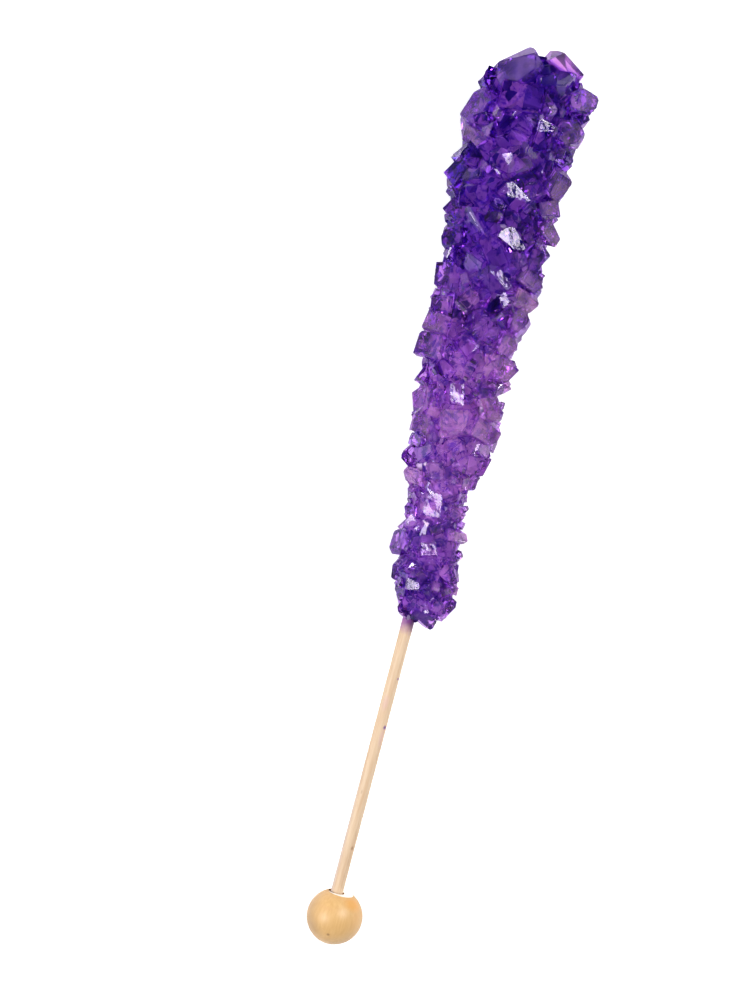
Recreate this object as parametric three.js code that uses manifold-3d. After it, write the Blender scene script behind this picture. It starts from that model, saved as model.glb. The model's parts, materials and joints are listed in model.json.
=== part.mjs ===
// A rock candy stick lying on its side: a wooden dowel with sugar crystals grown round its upper part and a
// drilled wooden ball on its lower end. Millimetres, +Z up. The dowel runs along +Y, from ball to candy.
//
// Everything is shaped in the stick's own frame: the origin on the dowel's axis inside the ball, "along" is +Y,
// "across" is +X, and "up" is +Z. The group then lays the stick down on the surface z = 0.
import * as THREE from "three";
import { ConvexGeometry } from "three/addons/geometries/ConvexGeometry.js";
import { mergeVertices } from "three/addons/utils/BufferGeometryUtils.js";
import Module from "manifold-3d";

// ---- Driving dimensions ----
const STICK_DIAMETER = 2.4;
const STICK_LENGTH = 165; // a 6.5 inch dowel
const BALL_DIAMETER = 10.8;
const BALL_CENTRE = new THREE.Vector3(0.8, -0.5, -0.4); // the dowel enters the ball a little off its middle
const MOUTH_DIAMETER = 4.8; // of the flat sawn on the ball where the dowel enters it
const MOUTH_TURN = THREE.MathUtils.degToRad(4); // that flat faces up by this much from the dowel
const BORE_DIAMETER = 3.2; // wider than the dowel, which is glued in it
const BORE_SIDESTEP = -0.1; // the bore lies this far across from the dowel's axis
const BORE_END = -1; // along
const GAP = 0.3; // between pieces that touch
const REST_FLAT_DEPTH = 0.12; // how much of the ball its small resting flat takes off

// The candy's outline over the crystals' tips: along, radius, and the sidestep of its middle from the dowel.
const OUTLINE = [
  [58.6, 2.2, 1.2],
  [60.5, 5.2, 2.2],
  [66.0, 6.7, 1.3],
  [74.0, 6.9, 0.3],
  [83.0, 6.6, -0.7],
  [97.0, 9.2, -1.0],
  [112.0, 9.8, -2.0],
  [128.0, 10.7, -1.7],
  [144.0, 11.9, -3.3],
  [156.0, 12.2, -2.6],
  [164.0, 11.3, -1.9],
  [167.6, 8.6, -2.4],
  [170.0, 3.0, -3.8],
];
const CANDY_BOTTOM = OUTLINE[0][0];
const CANDY_TOP = OUTLINE[OUTLINE.length - 1][0];
const CORE_SHARE = 0.68; // radius of the solid core, as a share of the outline's

const CRYSTAL_SMALL = 3.7; // typical length of a crystal at the thin end
const CRYSTAL_LARGE = 6.2; // and at the thick end
const LENGTH_SPREAD = [0.72, 1.3]; // range of a crystal's length, as a share of the typical one
const WIDTH_SHARE = [0.6, 0.9]; // range of a crystal's width, as a share of its length
const THICKNESS_SHARE = [0.55, 0.85]; // and of its thickness
const CUT_SHARE = [-0.5, 0.5]; // of a cut corner, as a share of the width: none where it falls below 0
const LEAN = 0.23; // tangent of the lean of a sugar crystal's end faces
const TIP_HEIGHT = [-1.5, 0.1]; // how far a crystal's tip stands off the outline
const TILT_LONG = 0.8; // the most that a crystal tips about its long side, in radians
const TILT_WIDE = 0.7; // and about its wide side
const LISTED_TILT = 0.25; // and that a listed crystal tips either way
const SPACING_SHARE = 1.24; // distance between neighbours, as a share of the crystals' length
const CROWDED_SHARE = 0.25; // nearer than this share of both lengths to a listed crystal, none grows
const SEED = 20177;

const LAID_TILT = THREE.MathUtils.degToRad(2.1); // the thick candy lifts its end of the dowel

// ---- The crystals that shape the outline and the upper side, from the thick end down ----
// across and along: the middle, in the stick's frame. long and wide: the sides that show from above.
// turn: the angle of the long side from +X towards +Y, in degrees. lift: extra height over the outline.
const LISTED_CRYSTALS = [
  { across: -6.1, along: 164.6, long: 9.2, wide: 6.0, turn: 45 },
  { across: 1.8, along: 167.8, long: 8.0, wide: 2.8, turn: -24 },
  { across: 5.8, along: 161.7, long: 7.0, wide: 5.2, turn: -10 },
  { across: -10.3, along: 162.2, long: 4.4, wide: 3.4, turn: 80 },
  { across: -4.8, along: 159.2, long: 8.2, wide: 5.4, turn: 4 },
  { across: -11.0, along: 156.9, long: 6.8, wide: 4.0, turn: 66 },
  { across: 0.4, along: 153.9, long: 5.6, wide: 3.4, turn: 85 },
  { across: 5.8, along: 155.6, long: 5.8, wide: 4.8, turn: 22 },
  { across: -10.8, along: 150.9, long: 5.8, wide: 3.0, turn: -14 },
  { across: -5.0, along: 147.2, long: 6.2, wide: 3.6, turn: -53 },
  { across: -10.6, along: 146.7, long: 4.6, wide: 4.0, turn: 88 },
  { across: 5.7, along: 146.3, long: 5.6, wide: 4.6, turn: 76 },
  { across: -12.0, along: 143.4, long: 5.0, wide: 4.2, turn: 56 },
  { across: -2.0, along: 141.4, long: 5.8, wide: 3.8, turn: -33 },
  { across: -8.1, along: 139.9, long: 5.4, wide: 4.2, turn: 8 },
  { across: 5.5, along: 141.0, long: 4.2, wide: 3.4, turn: 25 },
  { across: -11.0, along: 136.5, long: 4.4, wide: 3.2, turn: -30 },
  { across: 6.5, along: 137.0, long: 4.6, wide: 3.2, turn: -24 },
  { across: 0.2, along: 133.6, long: 6.2, wide: 3.6, turn: -33, lift: 0.5 },
  { across: -2.3, along: 130.1, long: 7.4, wide: 3.6, turn: -53 },
  { across: -9.5, along: 131.5, long: 4.4, wide: 3.4, turn: 24 },
  { across: 5.0, along: 131.3, long: 4.6, wide: 3.6, turn: 62 },
  { across: 5.1, along: 127.4, long: 4.6, wide: 3.4, turn: -20 },
  { across: -0.9, along: 125.3, long: 6.0, wide: 4.0, turn: -42 },
  { across: -9.1, along: 124.0, long: 6.0, wide: 4.8, turn: 101 },
  { across: 5.0, along: 123.4, long: 5.2, wide: 3.6, turn: -6 },
  { across: 0.5, along: 121.1, long: 4.8, wide: 3.4, turn: 64 },
  { across: -4.6, along: 120.1, long: 4.2, wide: 3.2, turn: 60 },
  { across: 5.1, along: 119.7, long: 4.6, wide: 3.4, turn: 54 },
  { across: -9.1, along: 118.9, long: 5.0, wide: 3.2, turn: 6 },
  { across: -8.9, along: 115.0, long: 5.4, wide: 3.8, turn: -4 },
  { across: 4.3, along: 114.6, long: 4.4, wide: 3.6, turn: 84 },
  { across: -8.8, along: 110.6, long: 6.2, wide: 4.6, turn: 2 },
  { across: 4.0, along: 110.1, long: 5.4, wide: 4.4, turn: -31 },
  { across: -2.8, along: 112.2, long: 4.4, wide: 3.2, turn: -38 },
  { across: -7.1, along: 100.9, long: 6.4, wide: 4.4, turn: 36 },
  { across: -2.8, along: 102.9, long: 4.2, wide: 2.8, turn: 100 },
  { across: 3.9, along: 101.8, long: 4.6, wide: 3.8, turn: -70 },
  { across: -1.1, along: 98.4, long: 5.0, wide: 4.2, turn: 10 },
  { across: 4.3, along: 97.7, long: 5.6, wide: 4.4, turn: -15 },
  { across: -7.3, along: 96.0, long: 4.2, wide: 3.4, turn: 2 },
  { across: 3.6, along: 90.8, long: 5.4, wide: 3.6, turn: 5 },
  { across: -6.9, along: 90.1, long: 4.0, wide: 3.4, turn: 58 },
  { across: -5.2, along: 85.8, long: 5.0, wide: 2.8, turn: -4 },
  { across: -1.9, along: 81.1, long: 4.8, wide: 4.0, turn: 95 },
  { across: 4.3, along: 76.9, long: 4.6, wide: 2.2, turn: -4 },
  { across: -4.4, along: 73.1, long: 5.4, wide: 3.6, turn: 100 },
  { across: 0.0, along: 73.1, long: 3.2, wide: 2.4, turn: 16, lift: 0.4 },
  { across: 4.5, along: 69.5, long: 4.2, wide: 3.2, turn: -30 },
  { across: -1.1, along: 66.2, long: 2.8, wide: 2.4, turn: 6, lift: 0.4 },
  { across: 5.7, along: 63.0, long: 4.6, wide: 3.8, turn: 62 },
  { across: 2.5, along: 60.2, long: 4.6, wide: 2.2, turn: -28 },
  { across: -1.0, along: 61.1, long: 3.2, wide: 2.8, turn: 70 },
];

// ---- Solids ----
const wasm = await Module();
wasm.setup();

// A closed geometry as a solid that can be joined and cut.
function solidOf(geometry) {
  const bare = new THREE.BufferGeometry().setAttribute("position", geometry.getAttribute("position"));
  if (geometry.index) bare.setIndex(geometry.index);
  const merged = mergeVertices(bare, 1e-4);
  return new wasm.Manifold(
    new wasm.Mesh({
      numProp: 3,
      vertProperties: merged.attributes.position.array,
      triVerts: new Uint32Array(merged.index.array),
    }),
  );
}

// A solid's surface as a flat-shaded geometry.
function geometryOf(solid) {
  const { numProp, numVert, vertProperties, triVerts } = solid.getMesh();
  const positions = new Float32Array(numVert * 3);
  for (let vertex = 0; vertex < numVert; vertex++) {
    positions.set(vertProperties.subarray(vertex * numProp, vertex * numProp + 3), vertex * 3);
  }
  const geometry = new THREE.BufferGeometry();
  geometry.setAttribute("position", new THREE.BufferAttribute(positions, 3));
  geometry.setIndex(new THREE.BufferAttribute(triVerts, 1));
  geometry.computeVertexNormals();
  return geometry;
}

// The largest body of a solid. A hollow sealed between crystals is a body too, so leaving it out fills it.
function largestBody(solid) {
  return solid.decompose().reduce((best, body) => (body.volume() > best.volume() ? body : best));
}

// ---- Random numbers, the same on every run ----
let randomState = SEED;
function random() {
  randomState = (randomState * 48271) % 2147483647;
  return randomState / 2147483647;
}
const between = (low, high) => low + (high - low) * random();

// ---- The candy's outline ----
const shareAlong = (along) => (along - CANDY_BOTTOM) / (CANDY_TOP - CANDY_BOTTOM);

// The outline's radius and sidestep at a place along it, straight between the stations listed.
function outlineAt(along) {
  const next = OUTLINE.findIndex((station) => station[0] >= along);
  if (next <= 0) return OUTLINE[next < 0 ? OUTLINE.length - 1 : 0].slice(1);
  const [from, to] = [OUTLINE[next - 1], OUTLINE[next]];
  const share = (along - from[0]) / (to[0] - from[0]);
  return [1, 2].map((column) => from[column] + (to[column] - from[column]) * share);
}

const radiusAt = (along) => outlineAt(along)[0];
const sidestepAt = (along) => outlineAt(along)[1];

function slopeAt(along) {
  const step = 1.5; // smooths the stations' corners
  return (radiusAt(along + step) - radiusAt(along - step)) / (2 * step);
}

// ---- Sugar crystals ----
// A sugar crystal as a leaning block centred on the origin. Where cut is over 0, two corners are cut off.
function crystalCorners({ long, wide, thick, cut, lean }) {
  const outline = [
    [-long / 2, -wide / 2],
    [long / 2 - cut, -wide / 2],
    [long / 2, cut - wide / 2],
    [long / 2, wide / 2],
    [cut - long / 2, wide / 2],
    [-long / 2, wide / 2 - cut],
  ].filter((corner, index) => cut > 0 || index % 3 !== 2);
  const faceAt = (z) => outline.map(([x, y]) => new THREE.Vector3(x + lean * z, y, z));
  return [...faceAt(-thick / 2), ...faceAt(thick / 2)];
}

// Moves a crystal, turned by the basis, so that its outermost corner lies on the outline at this place.
function crystalOnOutline(block, basis, outward, along, around, height) {
  const corners = crystalCorners(block).map((corner) => corner.applyMatrix4(basis));
  const reach = Math.max(...corners.map((corner) => corner.dot(outward)));
  const radius = radiusAt(along);
  const tip = new THREE.Vector3(
    sidestepAt(along) + radius * Math.sin(around),
    along,
    radius * Math.cos(around),
  );
  const middle = tip.addScaledVector(outward, height - reach);
  return { middle, size: block.long, corners: corners.map((corner) => corner.add(middle)) };
}

// A block's proportions, drawn round its length.
function drawBlock(long, wide = long * between(...WIDTH_SHARE)) {
  const thick = long * between(...THICKNESS_SHARE);
  const cut = Math.max(wide * between(...CUT_SHARE), 0);
  const lean = random() < 0.5 ? LEAN : -LEAN;
  return { long, wide, thick, cut, lean };
}

// A listed crystal lies half turned outwards, with its long side at the angle given, seen from above.
function listedCrystal({ across, along, long, wide, turn, lift = 0 }) {
  const block = drawBlock(long, wide);
  const reachAcross = Math.max(radiusAt(along) - block.thick / 2, 1);
  const sideways = THREE.MathUtils.clamp((across - sidestepAt(along)) / reachAcross, -1, 1);
  const around = Math.asin(sideways);
  const basis = new THREE.Matrix4()
    .makeRotationY(around / 2 + between(-LISTED_TILT, LISTED_TILT))
    .multiply(new THREE.Matrix4().makeRotationX(between(-LISTED_TILT, LISTED_TILT)))
    .multiply(new THREE.Matrix4().makeRotationZ(THREE.MathUtils.degToRad(turn)));
  const corners = crystalCorners(block).map((corner) => corner.applyMatrix4(basis));
  const middle = new THREE.Vector3(across, along, reachAcross * Math.cos(around) + lift);
  return { middle, size: long, corners: corners.map((corner) => corner.add(middle)) };
}

// The listed crystals, then the rest at evenly spaced places on a spiral over the whole outline.
function growCrystals() {
  const listed = LISTED_CRYSTALS.map(listedCrystal);
  const grown = [...listed];
  const goldenAngle = Math.PI * (3 - Math.sqrt(5));
  let along = CANDY_BOTTOM + CRYSTAL_SMALL / 3;
  for (let count = 0; along < CANDY_TOP; count++) {
    const typical = CRYSTAL_SMALL + (CRYSTAL_LARGE - CRYSTAL_SMALL) * shareAlong(along);
    const slope = slopeAt(along);
    const around = count * goldenAngle + between(-0.2, 0.2);
    const outward = new THREE.Vector3(Math.sin(around), -slope, Math.cos(around)).normalize();
    const beside = new THREE.Vector3(Math.cos(around), 0, -Math.sin(around));
    const basis = new THREE.Matrix4()
      .makeBasis(beside, new THREE.Vector3().crossVectors(outward, beside), outward)
      .multiply(new THREE.Matrix4().makeRotationZ(between(0, Math.PI)))
      .multiply(new THREE.Matrix4().makeRotationX(between(-TILT_LONG, TILT_LONG)))
      .multiply(new THREE.Matrix4().makeRotationY(between(-TILT_WIDE, TILT_WIDE)));
    const block = drawBlock(typical * between(...LENGTH_SPREAD));
    const crystal = crystalOnOutline(block, basis, outward, along, around, between(...TIP_HEIGHT));
    const isNear = (other) =>
      other.middle.distanceTo(crystal.middle) < CROWDED_SHARE * (other.size + crystal.size);
    if (!listed.some(isNear)) grown.push(crystal);
    const spacing = typical * SPACING_SHARE;
    const arc = (spacing * spacing) / (2 * Math.PI * Math.max(radiusAt(along), spacing / 2));
    along += arc / Math.hypot(1, slope);
  }
  return grown;
}

// ---- The three pieces, in the stick's frame ----
const stickRadius = STICK_DIAMETER / 2;
const ballRadius = BALL_DIAMETER / 2;
const boreRadius = BORE_DIAMETER / 2;
const stickStart = BORE_END + GAP;

function stickGeometry() {
  const edge = 0.25; // the cut ends' broken edge
  const profile = [
    new THREE.Vector2(0, 0),
    new THREE.Vector2(stickRadius - edge, 0),
    new THREE.Vector2(stickRadius, edge),
    new THREE.Vector2(stickRadius, STICK_LENGTH - edge),
    new THREE.Vector2(stickRadius - edge, STICK_LENGTH),
    new THREE.Vector2(0, STICK_LENGTH),
  ];
  return new THREE.LatheGeometry(profile, 24).translate(0, stickStart, 0);
}

// The ball, sawn flat round the mouth of its bore.
function ballSolid(floor) {
  const mouthAngle = Math.asin(MOUTH_DIAMETER / BALL_DIAMETER);
  const outside = new THREE.Path().absarc(0, 0, ballRadius, Math.PI / 2 - mouthAngle, -Math.PI / 2, true);
  const profile = [new THREE.Vector2(0, ballRadius * Math.cos(mouthAngle)), ...outside.getPoints(8)];
  profile[profile.length - 1].set(0, -ballRadius);
  const turned = new THREE.LatheGeometry(profile.reverse(), 32).rotateX(MOUTH_TURN);
  const bore = new THREE.CylinderGeometry(boreRadius, boreRadius, BALL_DIAMETER, 24);
  bore.translate(BORE_SIDESTEP, BORE_END + BALL_DIAMETER / 2, 0);
  return solidOf(turned.translate(...BALL_CENTRE)).subtract(solidOf(bore)).subtract(floor);
}

// The candy's core: a rounded, bowed spindle inside the crystals.
function coreGeometry() {
  const rings = 16;
  const from = CANDY_BOTTOM + 0.7;
  const to = CANDY_TOP - 2;
  const profile = [new THREE.Vector2(0, from)];
  for (let ring = 0; ring <= rings; ring++) {
    const along = from + ((to - from) * ring) / rings;
    profile.push(new THREE.Vector2(Math.max(radiusAt(along) * CORE_SHARE, stickRadius + 1), along));
  }
  profile.push(new THREE.Vector2(0, to));
  const core = new THREE.LatheGeometry(profile, 12);
  const places = core.getAttribute("position");
  for (let vertex = 0; vertex < places.count; vertex++) {
    places.setX(vertex, places.getX(vertex) + sidestepAt(places.getY(vertex)));
  }
  return core;
}

// The crystals fused on their core, with a blind hole where the dowel runs through.
function candySolid(floor) {
  const hole = new THREE.CylinderGeometry(stickRadius + GAP, stickRadius + GAP, STICK_LENGTH + GAP, 16);
  hole.translate(0, stickStart + (STICK_LENGTH + GAP) / 2, 0);
  const fused = growCrystals()
    .map((crystal) => solidOf(new ConvexGeometry(crystal.corners)))
    .reduce((whole, crystal) => whole.add(crystal), solidOf(coreGeometry()));
  return largestBody(fused.subtract(solidOf(hole)).subtract(floor));
}

// ---- Laying the stick down ----
const laid = new THREE.Group();
laid.rotation.x = LAID_TILT;
laid.position.z = ballRadius - REST_FLAT_DEPTH - BALL_CENTRE.clone().applyEuler(laid.rotation).z;
laid.updateMatrixWorld(true);

// A block below the resting surface, in the stick's frame. Cutting it off leaves the small flats to rest on.
function floorSolid() {
  const side = 500;
  const block = new THREE.BoxGeometry(side, side, side).translate(0, 0, -side / 2);
  return solidOf(block.applyMatrix4(laid.matrixWorld.clone().invert()));
}

function addMesh(name, geometry, color, roughness) {
  const material = new THREE.MeshStandardMaterial({ color, roughness, metalness: 0, flatShading: true });
  const mesh = new THREE.Mesh(geometry, material);
  mesh.name = name;
  laid.add(mesh);
}

const floor = floorSolid();
addMesh("stick", stickGeometry(), 0xf1d5ad, 0.75);
addMesh("ball", geometryOf(ballSolid(floor)), 0xe8bd84, 0.55);
addMesh("rock_candy", geometryOf(candySolid(floor)), 0x5a34a0, 0.12);

// ---- The part's frame: the origin at the middle of the box's underside ----
const candyStick = new THREE.Group();
candyStick.add(laid);
candyStick.updateMatrixWorld(true);
const middle = new THREE.Box3().setFromObject(candyStick, true).getCenter(new THREE.Vector3());
laid.position.x -= middle.x;
laid.position.y -= middle.y;

export default candyStick;
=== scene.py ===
"""Looks of a rock candy stick: violet sugar crystals on a wooden dowel with a drilled wooden ball.

The large crystals repeat the growth rule of the solid model, so each lies where its solid block
lies. Small ones fill the gaps between them, and a cloudy core shows through. Sizes are in
millimetres in the stick's own frame: the origin on the dowel's axis inside the ball, +Y along the
dowel towards the candy, +X across and +Z up.
"""

import json
import math

import bmesh
import bpy
from mathutils import Matrix, Vector

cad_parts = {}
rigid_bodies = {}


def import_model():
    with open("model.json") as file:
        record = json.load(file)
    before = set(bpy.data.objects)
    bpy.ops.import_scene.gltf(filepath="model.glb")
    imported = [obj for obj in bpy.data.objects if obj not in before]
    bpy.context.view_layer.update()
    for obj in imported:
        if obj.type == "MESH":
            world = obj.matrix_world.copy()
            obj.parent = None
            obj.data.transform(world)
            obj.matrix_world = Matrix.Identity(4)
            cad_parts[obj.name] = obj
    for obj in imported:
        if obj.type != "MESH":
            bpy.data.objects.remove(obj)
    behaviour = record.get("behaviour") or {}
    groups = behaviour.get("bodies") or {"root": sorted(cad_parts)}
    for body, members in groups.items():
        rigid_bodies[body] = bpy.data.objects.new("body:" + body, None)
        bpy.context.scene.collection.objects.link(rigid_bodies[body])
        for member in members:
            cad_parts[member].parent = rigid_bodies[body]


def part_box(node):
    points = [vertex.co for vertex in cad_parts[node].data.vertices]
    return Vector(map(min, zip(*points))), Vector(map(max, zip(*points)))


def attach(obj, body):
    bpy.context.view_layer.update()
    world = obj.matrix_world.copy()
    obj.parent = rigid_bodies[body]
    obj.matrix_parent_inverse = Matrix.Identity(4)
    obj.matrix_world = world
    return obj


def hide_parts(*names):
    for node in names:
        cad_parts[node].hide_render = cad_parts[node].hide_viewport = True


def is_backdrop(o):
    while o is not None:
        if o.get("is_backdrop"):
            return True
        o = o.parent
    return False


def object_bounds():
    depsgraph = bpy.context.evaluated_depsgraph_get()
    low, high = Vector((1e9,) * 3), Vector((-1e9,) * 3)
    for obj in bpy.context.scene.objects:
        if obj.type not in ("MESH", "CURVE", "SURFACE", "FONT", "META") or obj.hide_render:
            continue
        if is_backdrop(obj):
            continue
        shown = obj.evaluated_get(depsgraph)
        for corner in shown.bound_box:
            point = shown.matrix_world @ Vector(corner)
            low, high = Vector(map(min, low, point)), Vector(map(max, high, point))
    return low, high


MM = 0.001

# ---- Sizes shared with the solid model ----
STICK_DIAMETER = 2.4
STICK_LENGTH = 165.0
BALL_DIAMETER = 10.8
BALL_CENTRE = Vector((0.8, -0.5, -0.4))
MOUTH_DIAMETER = 4.8
MOUTH_TURN = math.radians(4)
BORE_DIAMETER = 3.2
BORE_SIDESTEP = -0.1
BORE_END = -1.0
GAP = 0.3
REST_FLAT_DEPTH = 0.12
LAID_TILT = math.radians(2.1)

# The candy's outline over the crystals' tips: along, radius, and its middle's sidestep.
OUTLINE = [
    (58.6, 2.2, 1.2),
    (60.5, 5.2, 2.2),
    (66.0, 6.7, 1.3),
    (74.0, 6.9, 0.3),
    (83.0, 6.6, -0.7),
    (97.0, 9.2, -1.0),
    (112.0, 9.8, -2.0),
    (128.0, 10.7, -1.7),
    (144.0, 11.9, -3.3),
    (156.0, 12.2, -2.6),
    (164.0, 11.3, -1.9),
    (167.6, 8.6, -2.4),
    (170.0, 3.0, -3.8),
]
CANDY_BOTTOM = OUTLINE[0][0]
CANDY_TOP = OUTLINE[-1][0]

CRYSTAL_LENGTHS = (3.7, 6.2)  # typical lengths at the thin and the thick end
LENGTH_SPREAD = (0.72, 1.3)  # as a share of the typical length
WIDTH_SHARE = (0.6, 0.9)  # of the length
THICKNESS_SHARE = (0.55, 0.85)  # of the length
CUT_SHARE = (-0.5, 0.5)  # of the width, and none below 0
LEAN = 0.23  # sideways for each step up
TIP_HEIGHT = (-1.5, 0.1)  # over the outline
TILT_LONG = 0.8  # radians, as are the next two
TILT_WIDE = 0.7
LISTED_TILT = 0.25
SPACING_SHARE = 1.24  # distance between neighbours, as a share of the typical length
CROWDED_SHARE = 0.25  # of both lengths: nearer than this to a listed crystal none grows
AROUND_SPREAD = 0.2  # how far a place on the spiral strays, in radians
SLOPE_STEP = 1.5
SEED = 20177  # and the next four for what only this script draws

# The crystals that shape the outline and the upper side: across, along, long, wide, turn in
# degrees, lift.
LISTED_CRYSTALS = [
    (-6.1, 164.6, 9.2, 6.0, 45, 0),
    (1.8, 167.8, 8.0, 2.8, -24, 0),
    (5.8, 161.7, 7.0, 5.2, -10, 0),
    (-10.3, 162.2, 4.4, 3.4, 80, 0),
    (-4.8, 159.2, 8.2, 5.4, 4, 0),
    (-11.0, 156.9, 6.8, 4.0, 66, 0),
    (0.4, 153.9, 5.6, 3.4, 85, 0),
    (5.8, 155.6, 5.8, 4.8, 22, 0),
    (-10.8, 150.9, 5.8, 3.0, -14, 0),
    (-5.0, 147.2, 6.2, 3.6, -53, 0),
    (-10.6, 146.7, 4.6, 4.0, 88, 0),
    (5.7, 146.3, 5.6, 4.6, 76, 0),
    (-12.0, 143.4, 5.0, 4.2, 56, 0),
    (-2.0, 141.4, 5.8, 3.8, -33, 0),
    (-8.1, 139.9, 5.4, 4.2, 8, 0),
    (5.5, 141.0, 4.2, 3.4, 25, 0),
    (-11.0, 136.5, 4.4, 3.2, -30, 0),
    (6.5, 137.0, 4.6, 3.2, -24, 0),
    (0.2, 133.6, 6.2, 3.6, -33, 0.5),
    (-2.3, 130.1, 7.4, 3.6, -53, 0),
    (-9.5, 131.5, 4.4, 3.4, 24, 0),
    (5.0, 131.3, 4.6, 3.6, 62, 0),
    (5.1, 127.4, 4.6, 3.4, -20, 0),
    (-0.9, 125.3, 6.0, 4.0, -42, 0),
    (-9.1, 124.0, 6.0, 4.8, 101, 0),
    (5.0, 123.4, 5.2, 3.6, -6, 0),
    (0.5, 121.1, 4.8, 3.4, 64, 0),
    (-4.6, 120.1, 4.2, 3.2, 60, 0),
    (5.1, 119.7, 4.6, 3.4, 54, 0),
    (-9.1, 118.9, 5.0, 3.2, 6, 0),
    (-8.9, 115.0, 5.4, 3.8, -4, 0),
    (4.3, 114.6, 4.4, 3.6, 84, 0),
    (-8.8, 110.6, 6.2, 4.6, 2, 0),
    (4.0, 110.1, 5.4, 4.4, -31, 0),
    (-2.8, 112.2, 4.4, 3.2, -38, 0),
    (-7.1, 100.9, 6.4, 4.4, 36, 0),
    (-2.8, 102.9, 4.2, 2.8, 100, 0),
    (3.9, 101.8, 4.6, 3.8, -70, 0),
    (-1.1, 98.4, 5.0, 4.2, 10, 0),
    (4.3, 97.7, 5.6, 4.4, -15, 0),
    (-7.3, 96.0, 4.2, 3.4, 2, 0),
    (3.6, 90.8, 5.4, 3.6, 5, 0),
    (-6.9, 90.1, 4.0, 3.4, 58, 0),
    (-5.2, 85.8, 5.0, 2.8, -4, 0),
    (-1.9, 81.1, 4.8, 4.0, 95, 0),
    (4.3, 76.9, 4.6, 2.2, -4, 0),
    (-4.4, 73.1, 5.4, 3.6, 100, 0),
    (0.0, 73.1, 3.2, 2.4, 16, 0.4),
    (4.5, 69.5, 4.2, 3.2, -30, 0),
    (-1.1, 66.2, 2.8, 2.4, 6, 0.4),
    (5.7, 63.0, 4.6, 3.8, 62, 0),
    (2.5, 60.2, 4.6, 2.2, -28, 0),
    (-1.0, 61.1, 3.2, 2.8, 70, 0),
]

# How each listed crystal looks, one letter each in the list's order.
LISTED_LOOKS = "sPmvvswmpwdmdwdmlpWvdlmwlPwlmlpplpwlWpppmldPWPdWlWlld"
LOOKS = {  # cloud, from clear to cloudy, and tone, from blue to pink
    "v": (0.0, 0.4),  # violet
    "d": (0.0, 0.1),  # dark
    "l": (0.08, 0.65),  # lilac
    "m": (0.3, 0.65),  # milky
    "s": (0.36, 0.3),  # smoky
    "p": (0.3, 1.0),  # pink
    "P": (0.5, 1.0),  # pink and cloudier
    "w": (0.0, 0.3),  # with a narrow face that mirrors a lamp
    "W": (0.0, 0.3),  # turned so that its main face mirrors a lamp
}

# ---- Sizes of what only this script makes ----
# Two values are a range to draw from, or the values at the thin and the thick end.
SMALL_LENGTHS = (1.6, 3.1)  # typical lengths at the ends, of the crystals that fill the gaps
SMALL_SPREAD = (0.6, 1.4)  # length, as a share of the typical length
SMALL_SPACING = 1.05  # distance between neighbours, as a share of the typical length
SMALL_HEIGHT = (-1.0, 0.0)  # of a tip over the outline, as a share of the typical length
CORE_LENGTHS = (3.0, 4.8)  # typical lengths at the ends, of the core's cloudy crystals
CORE_SPACING = 0.8  # distance between neighbours, as a share of the typical length
CORE_DEPTH = (0.28, 0.44)  # of a tip under the outline, as a share of the outline's radius
CORE_MARGINS = (3.0, 5.0)  # kept free of core crystals at the ends
# The spindles that the clear shell and the core grow on: along, share of the outline's radius.
SHELL_SHARES = [(60.0, 0.68), (170.0, 0.66)]
CORE_SHARES = [(60.0, 0.54), (170.0, 0.54)]
SPINDLE_MARGINS = (0.7, 2.5)  # how far a spindle stops short of the candy's ends
SPINDLE_WALL = 0.4  # least sugar round the dowel
SPINDLE_RINGS = 60
SPINDLE_SEGMENTS = 48
EDGE_SHARE = (0.02, 0.065)  # width of a crystal's worn edges, as a share of its length
CHAMFER_CHANCE = 0.28  # that an edge of a crystal is cut back to a narrow face
CHAMFER_DEPTH = (0.03, 0.14)  # as a share of the length
TERRACE_CHANCE = 0.5  # that a large crystal has a raised step on its main face
TERRACE_FACING = 0.35  # least cosine between that face's normal and outward
TERRACE_AREA = 0.2  # least area of that face, as a share of the length squared
TERRACE_INSET = (0.06, 0.16)  # of the step from the face's edges, as a share of the length
TERRACE_SHIFT = (-0.12, 0.12)  # of the step, as a share of the way to a corner
TERRACE_SLANT = 0.03  # width of the step's slanted side, as a share of the length
TERRACE_HEIGHT = (0.012, 0.03)  # as a share of the length
BRIGHT_CHANCE = 0.08  # that a crystal has a face that mirrors a lamp
BRIGHT_DEPTH = (0.03, 0.1)  # as a share of the length
BRIGHT_ASIDE = 0.1  # from its normal to the mirroring one, so that the lamp's edge shows
CLEARANCE = math.radians(11)  # other large faces turn this far away from mirroring a lamp
CLOUD_MOST = 0.7  # the cloudiest crystal that isn't listed
CLOUD_POWER = 6  # high, so that few of them are cloudy
PAINTED_LIGHT_CLOUD_RIGHT = 0.2  # how much cloudier and pinker the right side is than the middle: painted light, so that side is paler
PAINTED_LIGHT_TONE_RIGHT = 0.3
CLOUD_LOWER = 0.4  # how much cloudier and pinker the thin end is than the thick one
TONE_LOWER = 0.75
STICK_EDGE = 0.25  # the dowel's bevelled ends
STICK_RINGS = 80
STICK_WAVE = (0.006, 0.9)  # the dowel's unevenness as a share of its radius, and its pace along it
STICK_SEGMENTS = 48
BALL_RINGS = 60
BALL_SEGMENTS = 128
BALL_SHARP_ANGLE = math.radians(35)  # edges sharper than this aren't smoothed
MOUTH_RIM = [(0.16, 0.0), (0.05, 0.015)]  # the sawn flat's worn edge: inset and drop
MOUTH_RIM_ANGLE = 0.012  # from that edge to the ball's round, in radians
BORE_SEGMENTS = 64
FLOOR_BLOCK = (0.4, 0.6, 0.04)  # metres, of the block that the pieces' undersides are cut flat with

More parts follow.
